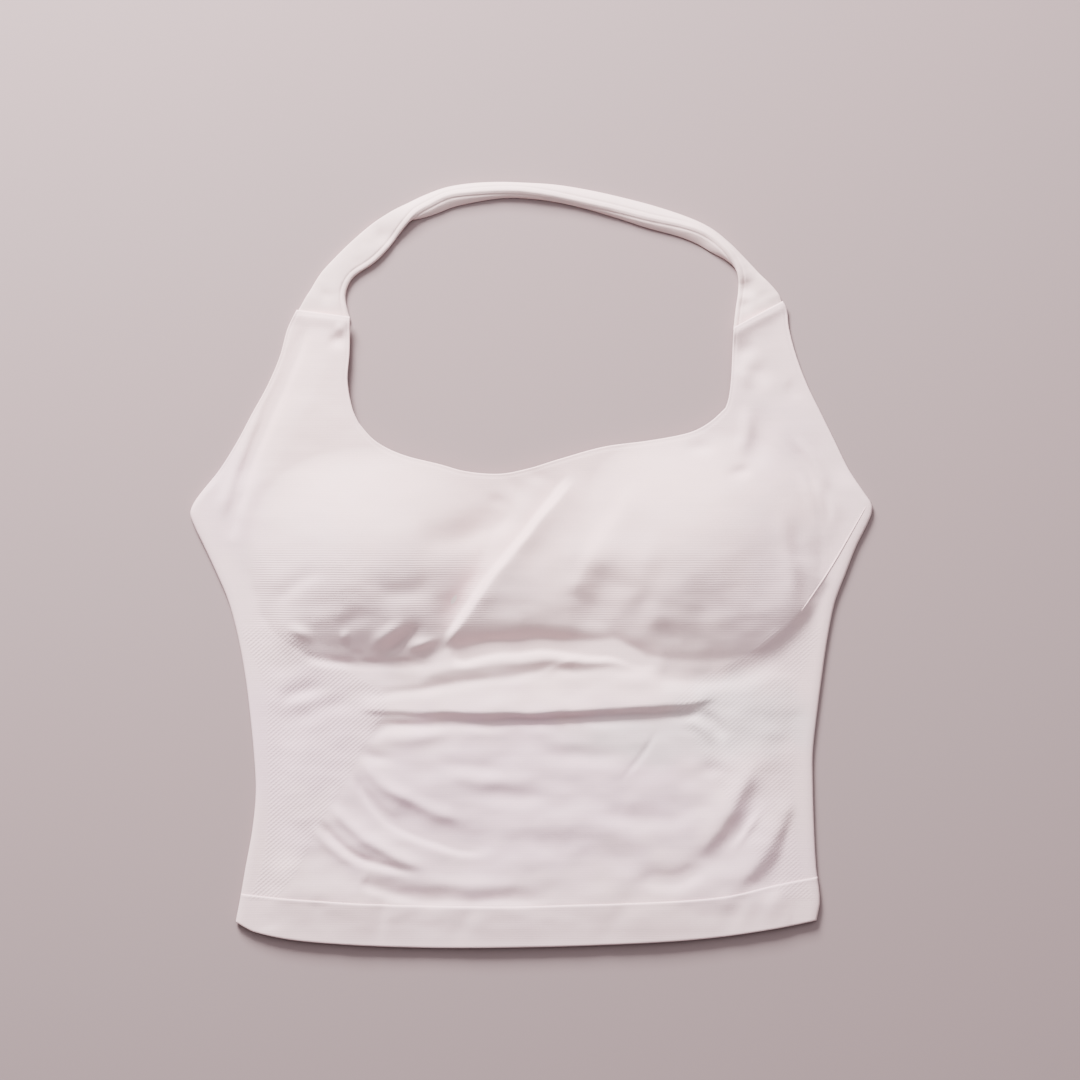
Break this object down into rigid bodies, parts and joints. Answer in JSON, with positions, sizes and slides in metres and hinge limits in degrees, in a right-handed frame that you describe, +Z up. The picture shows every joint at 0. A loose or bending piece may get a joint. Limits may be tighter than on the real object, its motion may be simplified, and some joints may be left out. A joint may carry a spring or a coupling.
{
  "type": "halter neck top",
  "caption": "Short close-fitting halter neck top of seamless knit with padded cups, a looped neck strap and a hem welt, laid flat.",
  "frame": {"origin": "on the surface the top lies on, under the middle of the whole garment", "axes": "+X to the right as seen from above, +Y from the hem to the neck, +Z up from the surface"},
  "size_m": [0.3608, 0.4052, 0.022],
  "materials": {
    "knit": "matt seamless knit with a soft sheen",
    "strap_knit": "smooth doubled knit",
    "pad_foam": "soft cloth-faced foam"
  },
  "bodies": {
    "root": {"front_panel": "knit", "back_panel": "knit", "front_hem": "knit", "back_hem": "knit", "neck_strap": "strap_knit", "left_pad": "pad_foam", "right_pad": "pad_foam"}
  },
  "joints": []
}
